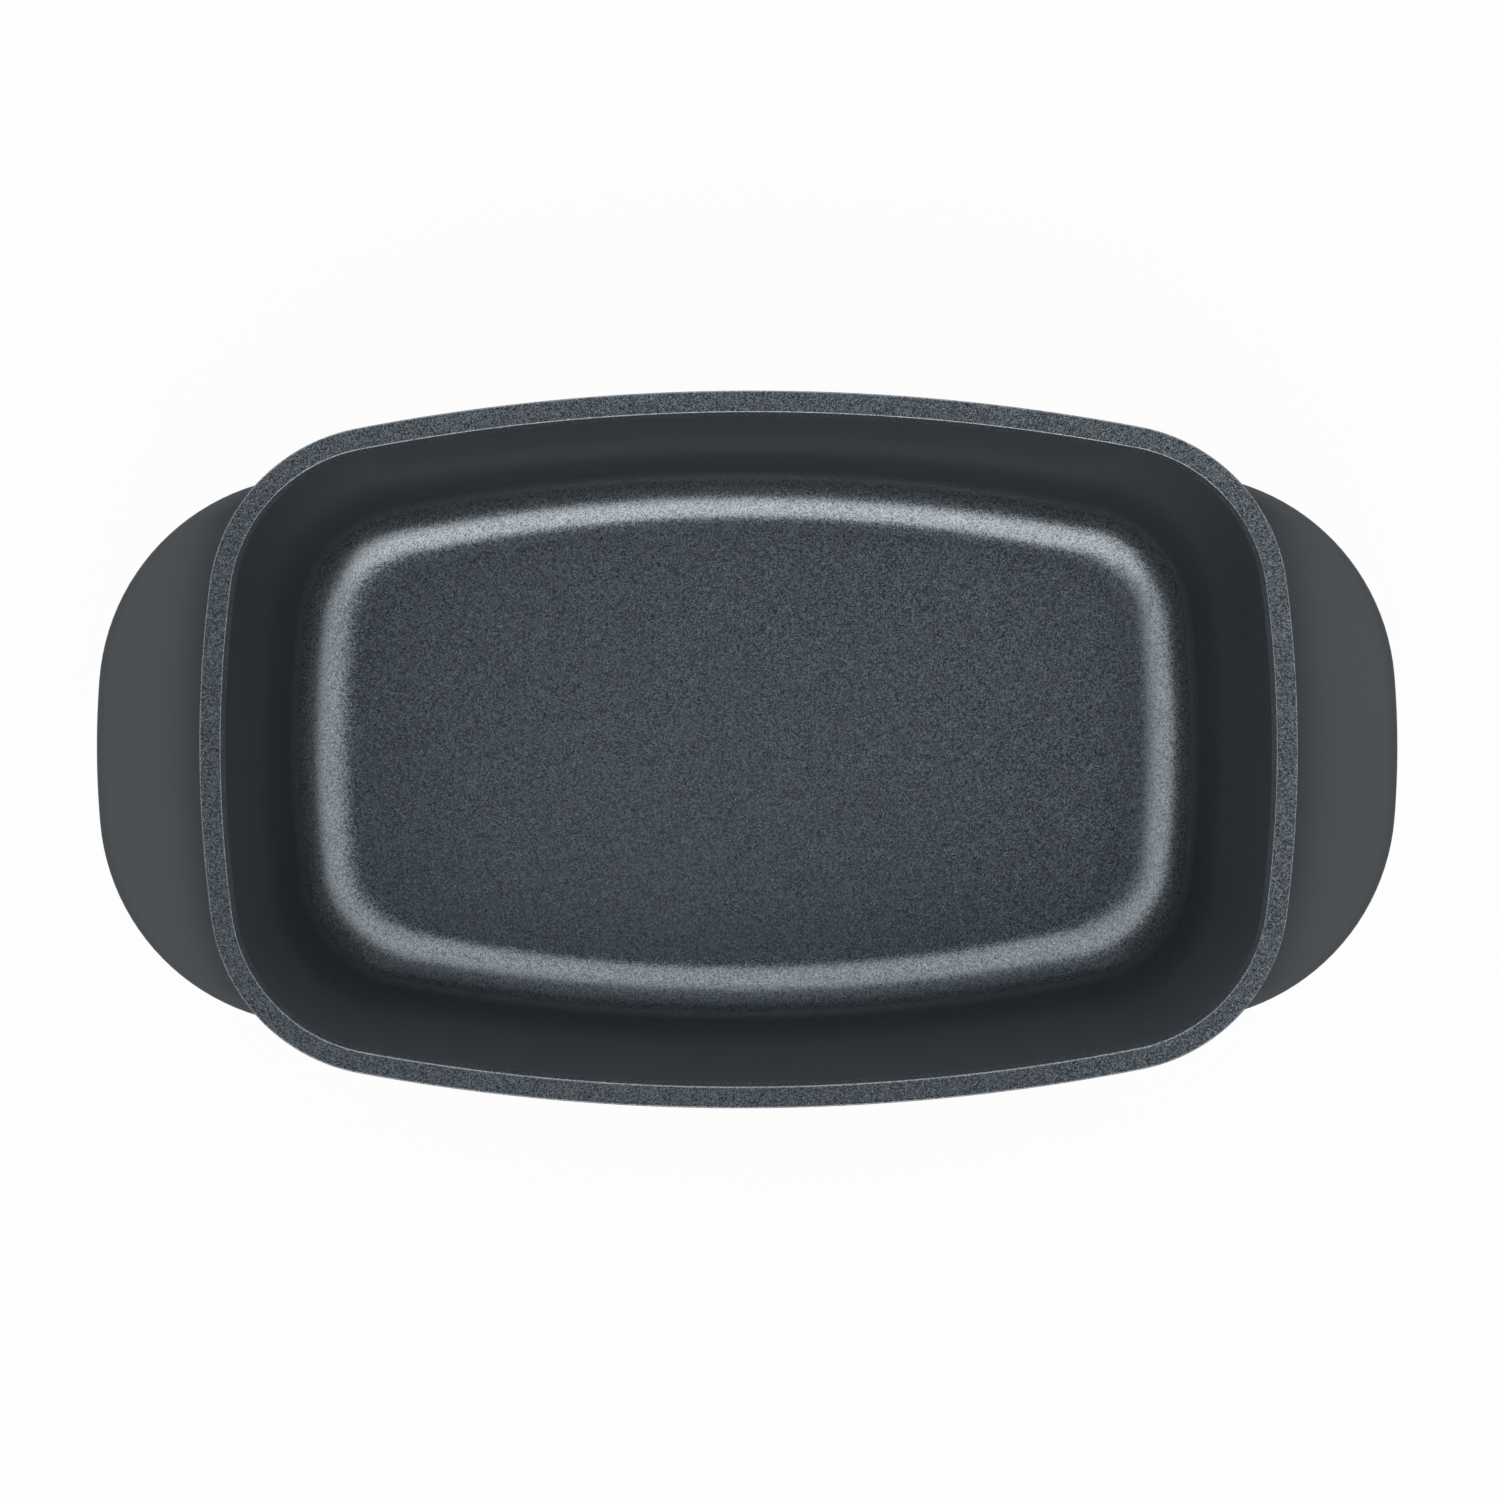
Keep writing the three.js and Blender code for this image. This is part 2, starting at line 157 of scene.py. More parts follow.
class FixingSizes(PropertyGroup):
    """Sizes of the screws and washers under the grips."""

    spacing: millimetres("Spacing", "Between the two screws of a grip", 70)
    from_tip: millimetres("From tip", "From a grip's tip to its screws", 23)
    screw_radius: millimetres("Screw radius", "Radius of a screw's shank", 2.5)
    screw_chamfer: millimetres("Screw chamfer", "Chamfer on a screw's tip", 0.5)
    head_radius: millimetres("Head radius", "Radius of a button head", 4.75)
    head_rim: millimetres("Head rim", "Straight edge of a button head", 0.6)
    head_flat: millimetres("Head flat", "Radius of the flat on a button head", 2.9)
    socket: millimetres("Socket", "Hexagon socket across its flats", 3)
    socket_depth: millimetres("Socket depth", "Depth of the hexagon socket", 1.6)
    washer_radius: millimetres("Washer radius", "Outside radius of a washer", 5)
    counterbore_radius: millimetres("Counterbore radius", "Hollow in a grip for a screw head", 5.5)
    edge_round: millimetres("Edge round", "Round on the edges of screws and washers", 0.15)
    gap: millimetres("Gap", "Gap around a screw and above a washer", 0.15)


class PlateSizes(PropertyGroup):
    """Sizes of the steel plate and of the cast studs that hold it."""

    thickness: metres("Thickness", "Thickness of the plate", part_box("induction_plate")[1].z)
    edge_round: millimetres("Edge round", "Round on the edges of plate and studs", 0.25)
    stud_radius: millimetres("Stud radius", "Radius of a cast stud", 3.5)
    stud_pitch: millimetres("Stud pitch", "Between neighbouring studs", 24)
    stud_to_edge: millimetres("Stud to edge", "Least plate between a hole and the edge", 6)
    fit_gap: millimetres("Fit gap", "Gap around the plate and around each stud", 0.3)


class FinishSettings(PropertyGroup):
    """Colours and grain of the finishes."""

    coat_dark: colour("Coat", "Ground of the non-stick coat", (0.061, 0.070, 0.080))
    coat_light: colour("Coat flakes", "Metal flakes in the non-stick coat", (0.336, 0.381, 0.415))
    coat_edge: colour("Coat at a low angle", "Shine of the coat along its surface", (0.115, 0.11, 0.105))
    coat_gloss: share("Coat gloss", "Gloss of the clear part of the coat", 0.03)
    coat_smooth: share("Coat roughness", "Roughness of the coat's ground", 0.18)
    coat_rough: share("Flake roughness", "Roughness of the metal flakes", 0.295)
    wall_smooth: share("Wall roughness", "Roughness of the coat on steep walls", 0.12)
    coat_metal: share("Coat metal", "Metallic share of the coat on flat faces", 0.84)
    wall_metal: share("Wall metal", "Metallic share of the coat on steep walls", 0.63)
    flake_size: millimetres("Flake size", "Size of a metal flake", 0.3)
    flake_tilt: share("Flake tilt", "How far the flakes lie off the surface", 0.06)
    grip_colour: colour("Grips", "Moulded grips", (0.068, 0.0765, 0.082))
    lacquer_colour: colour("Lacquer", "Matt lacquer on the outside", (0.040, 0.0455, 0.050))
    casting_colour: colour("Casting", "Bare ground aluminium under the base", (0.62, 0.63, 0.64))
    plate_colour: colour("Plate", "Brushed steel plate", (0.56, 0.565, 0.57))
    screw_colour: colour("Screws", "Plated screws and washers", (0.63, 0.64, 0.65))


class StageSettings(PropertyGroup):
    """Camera and light."""

    camera_height: metres("Camera height", "Camera above the rim", 1.35)
    camera_x: millimetres("Camera across", "Camera to the right of the pan's middle", -26)
    camera_y: millimetres("Camera along", "Camera behind the pan's middle", 25)
    camera_roll: degrees("Camera roll", "Turn of the camera about its line of sight", -0.18)
    frame_width: metres("Frame width", "Width of the picture at rim height", 0.46875)
    floor_size: metres("Floor size", "Width of the square floor", 12)
    floor_drop: millimetres("Floor drop", "Floor below the standing plane", 0.2)
    floor_shadow: share("Floor shadow", "How much of the pan's shadow shows on the white floor", 0.05)
    floor_colour: colour("Floor", "Pale floor, as it lights the pan", (0.35, 0.35, 0.35))
    sky_low: strength("Low sky", "Strength of the low surround", 0.10)
    sky_back: strength("Back wall", "Strength of the low surround behind the pan", 1.9)
    sky_high: strength("High sky", "Strength of the surround overhead", 1.29)
    sky_top: numbers(
        "Sky top", "Way to the middle of the bright surround", (-0.03, -0.02, 1.0), subtype="DIRECTION"
    )
    sky_corner: share("Dark corners", "How far the low surround rises in its corners", 0.4)
    box_power: number("Soft box power", "Power of the soft box", 13.6, unit="POWER")
    box_colour: colour("Soft box colour", "Colour of the soft box", (1.0, 0.95, 0.915))
    box_place: lengths("Soft box place", "Middle of the soft box", (0.0, -1.35, 1.25))
    box_length: metres("Soft box length", "Length of the soft box along X", 2.6)
    box_width: metres("Soft box width", "Width of the soft box", 1.5)
    flag_place: lengths("Flag place", "Middle of the dark flag above the camera", (-0.09, -0.185, 1.75))
    flag_glow: colour("Flag glow", "Faint light through the flag's cloth", (0.014, 0.034, 0.057))
    flag_half_x: metres("Flag across", "Half the width of the flag's full dark", 0.50)
    flag_half_y: metres("Flag along", "Half the depth of the flag's full dark", 0.555)
    flag_soft_x: metres("Soft ends", "Width of the flag's soft ends", 0.50)
    flag_soft_y: metres("Soft sides", "Width of the flag's soft sides", 0.02)
    patch_place: lengths("Thin patch", "Middle of a thin patch in the flag", (-0.02, 0.01, 0.0))
    patch_size: lengths("Patch size", "Half the size of the thin patch", (0.35, 0.14, 1.0))
    patch_clear: share("Patch clearness", "Light that the thin patch's middle lets through", 0.4)


class PanSettings(PropertyGroup):
    """All settings of the roasting pan."""

    casting: group_of(CastingSizes, "Casting")
    grip: group_of(GripSizes, "Grips")
    fixing: group_of(FixingSizes, "Fixings")
    plate: group_of(PlateSizes, "Plate")
    finish: group_of(FinishSettings, "Finishes")
    stage: group_of(StageSettings, "Stage")


# Section through the casting

def lip_inset(casting):
    return casting.rim_land + casting.lip_step


def inner_wall_inset(casting, height):
    return lip_inset(casting) + (casting.height - casting.lip_depth - height) * tan(casting.draft)


def outer_wall_inset(casting, height):
    return inner_wall_inset(casting, height) - casting.wall / cos(casting.draft)


def cove_inset(casting):
    """Inset of the line where the cove runs out into the floor."""
    cove_top = casting.floor + casting.cove_radius * (1 - sin(casting.draft))
    return inner_wall_inset(casting, cove_top) + casting.cove_radius * cos(casting.draft)


def heel_inset(casting):
    """Inset of the line where the heel runs out into the base."""
    heel_top = casting.heel_radius * (1 - sin(casting.draft))
    return outer_wall_inset(casting, heel_top) + casting.heel_radius * cos(casting.draft)


def plate_inset(casting):
    return heel_inset(casting) + casting.foot_ring


# Outlines, seen from above

LONG_STEPS = 36
SHORT_STEPS = 24
CORNER_STEPS = 26
ROUND_SIDES = 48
STUD_SIDES = 28
HEXAGON = 6


def arc_points(centre, radius, start, end, steps):
    """Points of an arc without its last one, where the next arc starts."""
    turns = [start + (end - start) * step / steps for step in range(steps)]
    return [Vector((centre.x + radius * cos(turn), centre.y + radius * sin(turn))) for turn in turns]


def circles_meet(first, first_radius, second, second_radius):
    """Where two circles meet, on the right of the way from the first centre to the second."""
    way = second - first
    apart = way.length
    way = way / apart
    along = (first_radius**2 - second_radius**2 + apart**2) / (2 * apart)
    aside = sqrt(first_radius**2 - along**2)
    return first + along * way + aside * Vector((way.y, -way.x))


def pan_outline(casting, inset):
    """The rim's outline moved in by an inset, anticlockwise from the right-hand end.

    It moves in evenly as far as the lip, and from there its radii go over to those of the floor.
    """
    lip = lip_inset(casting)
    even = min(inset, lip)
    to_floor = (max(inset, lip) - lip) / (cove_inset(casting) - lip)

    def radius_between(rim_radius, floor_radius):
        return (rim_radius - even) * (1 - to_floor) + floor_radius * to_floor

    long_radius = radius_between(casting.long_side_radius, casting.floor_long_radius)
    short_radius = radius_between(casting.short_side_radius, casting.floor_short_radius)
    corner_radius = radius_between(casting.corner_radius, casting.floor_corner_radius)
    long_centre = Vector((0, casting.rim_width / 2 - inset - long_radius))
    short_centre = Vector((casting.rim_length / 2 - inset - short_radius, 0))
    corner = circles_meet(
        long_centre, long_radius - corner_radius, short_centre, short_radius - corner_radius
    )
    short_turn = atan2(corner.y - short_centre.y, corner.x - short_centre.x)
    long_turn = atan2(corner.y - long_centre.y, corner.x - long_centre.x)
    far_corner = Vector((-corner.x, corner.y))
    half = [
        *arc_points(short_centre, short_radius, -short_turn, short_turn, SHORT_STEPS),
        *arc_points(corner, corner_radius, short_turn, long_turn, CORNER_STEPS),
        *arc_points(long_centre, long_radius, long_turn, pi - long_turn, LONG_STEPS),
        *arc_points(far_corner, corner_radius, pi - long_turn, pi - short_turn, CORNER_STEPS),
    ]
    return half + [-point for point in half]


def grip_outline(grip, inset):
    """The right-hand grip's outline moved in by an inset. Its straight root lies inside the casting."""
    end_centre = Vector((grip.tip - grip.end_radius, 0))
    corner_y = grip.width / 2 - grip.corner_radius
    corner_x = end_centre.x + sqrt((grip.end_radius - grip.corner_radius) ** 2 - corner_y**2)
    corner_radius = grip.corner_radius - inset
    turn = atan2(corner_y, corner_x - end_centre.x)
    front = Vector((corner_x, -corner_y))
    back = Vector((corner_x, corner_y))
    return [
        *arc_points(front, corner_radius, -pi / 2, -turn, CORNER_STEPS),
        *arc_points(end_centre, grip.end_radius - inset, -turn, turn, SHORT_STEPS),
        *arc_points(back, corner_radius, turn, pi / 2, CORNER_STEPS),
        back + Vector((0, corner_radius)),
    ]


def is_inside(spot, outline):
    """True if a point lies inside a closed outline."""
    inside = False
    for a, b in zip(outline, outline[1:] + outline[:1]):
        if (a.y > spot.y) != (b.y > spot.y) and spot.x < a.x + (spot.y - a.y) * (b.x - a.x) / (b.y - a.y):
            inside = not inside
    return inside


# Meshes

TURN_STEP = radians(7)
LEAST_STEPS = 2
TIGHT_ROUND = 1 * MM
CREASE = radians(35)
CREASE_STEPS = 2

Corner = namedtuple("Corner", "inset height radius finish", defaults=(0.0, 0))
ProfilePoint = namedtuple("ProfilePoint", "inset height finish edge", defaults=(0, 0.0))


def rounded_profile(corners):
    """The points of a profile with its corners rounded. A corner's finish starts after its round.

    The middle of a tight round on an outer edge is marked, so that a finish can show wear and a painted
    highlight line there.
    """
    points = [ProfilePoint(corners[0].inset, corners[0].height, corners[0].finish)]
    for before, corner, after in zip(corners, corners[1:], corners[2:]):
        here = Vector((corner.inset, corner.height))
        if corner.radius == 0:
            points.append(ProfilePoint(here.x, here.y, corner.finish))
            continue
        into = (here - Vector((before.inset, before.height))).normalized()
        out = (Vector((after.inset, after.height)) - here).normalized()
        turn = atan2(into.x * out.y - into.y * out.x, into.dot(out))
        start = here - into * corner.radius * tan(abs(turn) / 2)
        arm = Vector((into.y, -into.x)) * copysign(corner.radius, turn)
        steps = max(LEAST_STEPS, ceil(abs(turn) / TURN_STEP))
        tight = turn > 0 and corner.radius < TIGHT_ROUND
        for step in range(steps + 1):
            spot = start - arm + Matrix.Rotation(turn * step / steps, 2) @ arm
            finish = corner.finish if step == steps else before.finish
            edge = 1.0 if tight and 0 < step < steps else 0.0
            points.append(ProfilePoint(spot.x, spot.y, finish, edge))
    points.append(ProfilePoint(corners[-1].inset, corners[-1].height, corners[-1].finish))
    return points


def slab_profile(inset, top, bottom, finish=0):
    return [ProfilePoint(inset, top, finish), ProfilePoint(inset, bottom, finish)]


def add_object(name, data):
    """A new object in the scene."""
    thing = bpy.data.objects.new(name, data)
    bpy.context.scene.collection.objects.link(thing)
    return thing


class MeshDraft:
    """Points and faces of a piece, gathered before its mesh is made."""

    def __init__(self):
        self.points = []
        self.faces = []
        self.finishes = []
        self.edges = []

    def add_face(self, corners, finish):
        self.faces.append(corners)
        self.finishes.append(finish)

    def add_loft(self, outline_at, profile, closed=False, length_at=lambda point: 1.0):
        """A body whose edge follows a profile around an outline, from its top face to its underside.

        A closed profile makes a ring without those two faces. The outline can be shortened along X.
        """
        first = len(self.points)
        for point in profile:
            length = length_at(point)
            ring = [(spot.x * length, spot.y, point.height) for spot in outline_at(point.inset)]
            self.points += ring
            self.edges += [point.edge] * len(ring)
        count = len(ring)
        rows = len(profile)
        for row in range(rows if closed else rows - 1):
            upper = first + row * count
            lower = first + (row + 1) % rows * count
            for i in range(count):
                after = (i + 1) % count
                self.add_face((upper + after, upper + i, lower + i, lower + after), profile[row].finish)
        if not closed:
            last = first + (rows - 1) * count
            self.add_face(tuple(range(first, first + count)), profile[0].finish)
            self.add_face(tuple(reversed(range(last, last + count))), profile[-1].finish)
        return self

    def add_turned(self, middle, profile, sides=ROUND_SIDES, closed=False):
        """A body turned about an upright axis. Its insets are radii with a minus sign."""
        return self.add_loft(lambda inset: arc_points(middle, -inset, 0, 2 * pi, sides), profile, closed)

    def make(self, name, *materials):
        """The piece as an object in the scene."""
        mesh = bpy.data.meshes.new(name)
        mesh.from_pydata(self.points, [], self.faces)
        mesh.polygons.foreach_set("material_index", self.finishes)
        mesh.attributes.new("edge", "FLOAT", "POINT").data.foreach_set("value", self.edges)
        for material in materials:
            mesh.materials.append(material)
        return add_object(name, mesh)


def cut_away(piece, *cutters):
    """Cuts solids out of a piece, and removes them."""
    for cutter in cutters:
        cut = piece.modifiers.new(cutter.name, "BOOLEAN")
        cut.operation = "DIFFERENCE"
        cut.solver = "EXACT"
        cut.object = cutter
    graph = bpy.context.evaluated_depsgraph_get()
    mesh = bpy.data.meshes.new_from_object(piece.evaluated_get(graph))
    if not mesh.polygons:
        raise RuntimeError(f"nothing is left of {piece.name} after its cuts")
    piece.modifiers.clear()
    piece.data = mesh
    for cutter in cutters:
        bpy.data.objects.remove(cutter)


def round_creases(piece, width):
    """Rounds the sharp edges that cuts left on a piece."""
    bevel = piece.modifiers.new("Rounded edges", "BEVEL")
    bevel.width = width
    bevel.segments = CREASE_STEPS
    bevel.limit_method = "ANGLE"
    bevel.angle_limit = CREASE


def hand_over(piece, slot, *nodes):
    """Gives a piece its shading, and puts it in the place of its solids."""
    piece.data.shade_smooth()
    piece.data.set_sharp_from_angle(angle=CREASE)
    even = piece.modifiers.new("Even shading", "WEIGHTED_NORMAL")
    even.keep_sharp = True
    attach(piece, BODY)
    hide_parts(*nodes)


# Shader nodes

# Sockets of a colour mix, by number, since their names are not unique
COLOUR_A, COLOUR_B, COLOUR_RESULT = 6, 7, 2

# Range of most noise values
NOISE_LOW, NOISE_HIGH = 0.25, 0.75


def set_sockets(tree, node, values):
    """Links the sockets that are given an output, and sets the others."""
    for name, value in values.items():
        if isinstance(value, bpy.types.NodeSocket):
            tree.links.new(value, node.inputs[name])
        else:
            node.inputs[name].default_value = value


def add_node(tree, kind, sockets=None, **settings):
    """A shader node of a kind, with its settings and sockets."""
    node = tree.nodes.new("ShaderNode" + kind)
    for name, value in settings.items():
        setattr(node, name, value)
    set_sockets(tree, node, sockets or {})
    return node


def object_place(tree):
    return add_node(tree, "TexCoord").outputs["Object"]


def facing(tree):
    """The way that the surface faces."""
    return add_node(tree, "NewGeometry").outputs["Normal"]


def calculate(tree, operation, *values):
    return add_node(tree, "Math", dict(enumerate(values)), operation=operation).outputs[0]


def combine(tree, operation, *values):
    """A vector worked out from vectors."""
    return add_node(tree, "VectorMath", dict(enumerate(values)), operation=operation).outputs["Vector"]


def measure(tree, operation, *values):
    """A number worked out from vectors."""
    return add_node(tree, "VectorMath", dict(enumerate(values)), operation=operation).outputs["Value"]


def noise(tree, place, scale, detail):
    sockets = {"Vector": place, "Scale": scale, "Detail": detail}
    return add_node(tree, "TexNoise", sockets).outputs["Fac"]


def ramp(tree, value, start, end, low=0.0, high=1.0):
    """Goes from low to high while a value goes from start to end."""
    return add_node(tree, "MapRange", {
        "Value": value, "From Min": start, "From Max": end, "To Min": low, "To Max": high,
    }).outputs["Result"]


def between(tree, amount, low, high):
    """A number between two, by a varying amount."""
    return ramp(tree, amount, 0.0, 1.0, low, high)


def spread(tree, value, low=0.0, high=1.0):
    """A noise value brought to the range from low to high."""
    return ramp(tree, value, NOISE_LOW, NOISE_HIGH, low, high)


def tone(tree, amount, dark, light):
    """A colour between two, by a varying amount."""
    sockets = {"Factor": amount, COLOUR_A: dark, COLOUR_B: light}
    return add_node(tree, "Mix", sockets, data_type="RGBA").outputs[COLOUR_RESULT]


def scaled(rgb, factor=1.0):
    """A colour with its brightness changed, as a shader takes it."""
    return (*(channel * factor for channel in rgb), 1.0)


def shades(tree, amount, rgb, darkest, lightest=1.0):
    """One colour in varying brightness."""
    return tone(tree, amount, scaled(rgb, darkest), scaled(rgb, lightest))


def bump(tree, height, strength, depth):
    sockets = {"Height": height, "Strength": strength, "Distance": depth}
    return add_node(tree, "Bump", sockets).outputs["Normal"]


def new_group(name, inputs, outputs):
    """An empty shader node group of plain numbers, with its inlet and outlet."""
    group = bpy.data.node_groups.new(name, "ShaderNodeTree")
    for title, default in inputs.items():
        socket = group.interface.new_socket(title, in_out="INPUT", socket_type="NodeSocketFloat")
        socket.default_value = default
    for title in outputs:
        group.interface.new_socket(title, in_out="OUTPUT", socket_type="NodeSocketFloat")
    return group, group.nodes.new("NodeGroupInput").outputs, group.nodes.new("NodeGroupOutput")


def place_group(tree, make_group, **inputs):
    """A shared effect in a material. It is built on its first use."""
    group = bpy.data.node_groups.get(make_group.__name__) or make_group(make_group.__name__)
    return add_node(tree, "Group", inputs, node_tree=group).outputs


def new_material(name):
    """A material with its node tree and its Principled shader."""
    material = bpy.data.materials.new(name)
    material.use_nodes = True
    return material, material.node_tree, material.node_tree.nodes["Principled BSDF"]


# Effects that several finishes share

def fine_grain(name):
    """Fine grain, and broad soft mottling."""
    group, inlet, outlet = new_group(name, {"Scale": 1500.0, "Mottling": 20.0}, ["Grain", "Mottle"])
    place = object_place(group)
    set_sockets(group, outlet, {
        "Grain": noise(group, place, inlet["Scale"], detail=2.0),
        "Mottle": noise(group, place, inlet["Mottling"], detail=3.0),
    })
    return group


def worn_edge(name):
    """A mask of the tight outer edges, broken up as by wear. It lightens them as wear and as a painted
    highlight line.
    """
    group, inlet, outlet = new_group(name, {"Amount": 0.5, "Scale": 250.0}, ["Mask"])
    edge = add_node(group, "Attribute", attribute_name="edge").outputs["Fac"]
    patches = spread(group, noise(group, object_place(group), inlet["Scale"], detail=3.0))
    broken = calculate(group, "MULTIPLY", edge, patches)
    set_sockets(group, outlet, {"Mask": calculate(group, "MULTIPLY", broken, inlet["Amount"])})
    return group


def brush_lines(name):
    """Fine straight lines along X, as a grinding belt leaves them."""
    group, inlet, outlet = new_group(name, {"Scale": 4000.0, "Stretch": 0.01}, ["Lines"])
    squeeze = add_node(group, "CombineXYZ", {"X": inlet["Stretch"], "Y": 1.0, "Z": 1.0})
    drawn_out = combine(group, "MULTIPLY", object_place(group), squeeze.outputs["Vector"])
    set_sockets(group, outlet, {"Lines": noise(group, drawn_out, inlet["Scale"], detail=4.0)})
    return group


# Finishes

# Upward part of the normal on a steep wall, and on a surface that lies flat
STEEP, LYING = 0.25, 0.6

# Even shine of a wall, where flakes have any from 0 to 1
WALL_SHINE = 0.3

# Middle of the flakes' random colours
NO_LEAN = (0.5, 0.5, 0.5)


def metal_flakes(tree, size, tilt):
    """Flakes in the coat: a random shine for each flake, and the normal that its lean gives."""
    cells = add_node(tree, "TexVoronoi", {"Vector": object_place(tree), "Scale": 1 / size})
    flake = cells.outputs["Color"]
    shine = add_node(tree, "SeparateColor", {"Color": flake}).outputs["Red"]
    lean = combine(tree, "MULTIPLY", combine(tree, "SUBTRACT", flake, NO_LEAN), tilt)
    return shine, combine(tree, "NORMALIZE", combine(tree, "ADD", facing(tree), lean))


def speckled_coat(finish):
    """Dark blue-grey non-stick coat full of fine metal flakes. It shines less at a low angle.

    Bright flakes are rougher than the ground. Steep walls are smooth and show no flakes.
    """
    material, tree, shader = new_material("speckled_coat")
    wear_and_highlight = place_group(tree, worn_edge, Amount=0.35, Scale=400.0)
    upward = add_node(tree, "SeparateXYZ", {"Vector": facing(tree)}).outputs["Z"]
    lying = ramp(tree, upward, STEEP, LYING)
    tilt = between(tree, lying, 0.0, finish.flake_tilt)
    shine, leaning = metal_flakes(tree, finish.flake_size, tilt)
    shine = between(tree, lying, WALL_SHINE, shine)
    rough = between(tree, shine, finish.coat_smooth, finish.coat_rough)
    speckle = tone(tree, shine, scaled(finish.coat_dark), scaled(finish.coat_light))
    set_sockets(tree, shader, {
        # The rim's tight edges at the lip and outside are lightened: wear, and a painted highlight line.
        "Base Color": tone(tree, wear_and_highlight["Mask"], speckle, scaled(finish.coat_light)),
        "Metallic": between(tree, lying, finish.wall_metal, finish.coat_metal),
        "Specular Tint": scaled(finish.coat_edge),
        "Specular IOR Level": finish.coat_gloss,
        "Roughness": between(tree, lying, finish.wall_smooth, rough),
        "Normal": leaning,
    })
    return material


def outside_lacquer(finish):
    """Matt dark lacquer with a faint orange-peel surface."""
    material, tree, shader = new_material("outside_lacquer")
    grain = place_group(tree, fine_grain, Scale=700.0, Mottling=9.0)
    wear_and_highlight = place_group(tree, worn_edge, Amount=0.3, Scale=300.0)
    ground = shades(tree, grain["Mottle"], finish.lacquer_colour, darkest=0.9, lightest=1.1)
    set_sockets(tree, shader, {
        # The tight edge under the rim band is lightened by the same mask: wear, and a painted highlight
        # line.
        "Base Color": tone(tree, wear_and_highlight["Mask"], ground, scaled(finish.coat_light)),
        "Roughness": spread(tree, grain["Mottle"], low=0.42, high=0.54),
        "Normal": bump(tree, grain["Grain"], strength=0.12, depth=0.3 * MM),
    })
    return material


def bare_casting(finish):
    """Ground aluminium of the standing ring and the studs."""
    material, tree, shader = new_material("bare_casting")
    lines = place_group(tree, brush_lines, Scale=2500.0, Stretch=0.02)
    grain = place_group(tree, fine_grain, Scale=1200.0, Mottling=30.0)
    set_sockets(tree, shader, {
        "Base Color": shades(tree, grain["Mottle"], finish.casting_colour, darkest=0.85),
        "Metallic": 1.0,
        "Roughness": spread(tree, lines["Lines"], low=0.3, high=0.5),
        "Normal": bump(tree, lines["Lines"], strength=0.15, depth=0.2 * MM),
    })
    return material


def matt_grip(finish):
    """Plain dark grey moulding with a fine, dull texture."""
    material, tree, shader = new_material("matt_grip")
    grain = place_group(tree, fine_grain, Scale=2600.0, Mottling=12.0)
    set_sockets(tree, shader, {
        "Base Color": shades(tree, grain["Mottle"], finish.grip_colour, darkest=0.95, lightest=1.05),
        "Roughness": spread(tree, grain["Grain"], low=0.56, high=0.7),
        "Specular IOR Level": 0.15,
        "Normal": bump(tree, grain["Grain"], strength=0.1, depth=0.1 * MM),
    })
    return material


def brushed_plate(finish):
    """Brushed stainless steel."""
    material, tree, shader = new_material("brushed_plate")
    lines = place_group(tree, brush_lines, Scale=5000.0, Stretch=0.006)
    grain = place_group(tree, fine_grain, Scale=1000.0, Mottling=16.0)
    set_sockets(tree, shader, {
        "Base Color": shades(tree, lines["Lines"], finish.plate_colour, darkest=0.8),
        "Metallic": 1.0,
        "Roughness": spread(tree, grain["Mottle"], low=0.26, high=0.4),
        "Normal": bump(tree, lines["Lines"], strength=0.2, depth=0.2 * MM),
    })
    return material


def plated_steel(finish):
    """Bright plating on the screws and washers, a little uneven."""
    material, tree, shader = new_material("plated_steel")
    grain = place_group(tree, fine_grain, Scale=2000.0, Mottling=260.0)
    set_sockets(tree, shader, {
        "Base Color": shades(tree, grain["Mottle"], finish.screw_colour, darkest=0.8),
        "Metallic": 1.0,
        "Roughness": spread(tree, grain["Grain"], low=0.2, high=0.36),
        "Normal": bump(tree, grain["Grain"], strength=0.05, depth=0.1 * MM),
    })
    return material


# The casting

COAT, LACQUER, BARE = range(3)

# How steeply the cove's run-out sets in near the floor
RUN_OUT_POWER = 5


def outside_corners(casting, gap=0.0):
    """Profile of the casting's outside, from the rim down to the base, grown by a gap."""
    band_bottom = casting.height - casting.rim_band
    wall_top = band_bottom - outer_wall_inset(casting, band_bottom)
    return [
        Corner(-gap, casting.height, casting.edge_radius, LACQUER),
        Corner(-gap, band_bottom, casting.edge_radius, LACQUER),
        Corner(outer_wall_inset(casting, wall_top) - gap, wall_top, casting.under_rim_radius, LACQUER),
        Corner(outer_wall_inset(casting, 0) - gap, 0, casting.heel_radius, BARE),
    ]


def casting_profile(casting, plate):
    """Profile of the casting, from the floor inside, over the rim, to the recess in the base."""
    lip_bottom = casting.height - casting.lip_depth
    recess = plate_inset(casting) - plate.fit_gap
    return rounded_profile([
        Corner(plate_inset(casting), casting.floor, 0, COAT),
        Corner(inner_wall_inset(casting, casting.floor), casting.floor, casting.cove_radius, COAT),
        Corner(inner_wall_inset(casting, lip_bottom), lip_bottom, casting.edge_radius, COAT),
        Corner(casting.rim_land, casting.height, casting.lip_round, COAT),
        *outside_corners(casting),
        Corner(recess, 0, plate.edge_round, BARE),
        Corner(recess, plate.thickness + plate.fit_gap, 0, BARE),
    ])


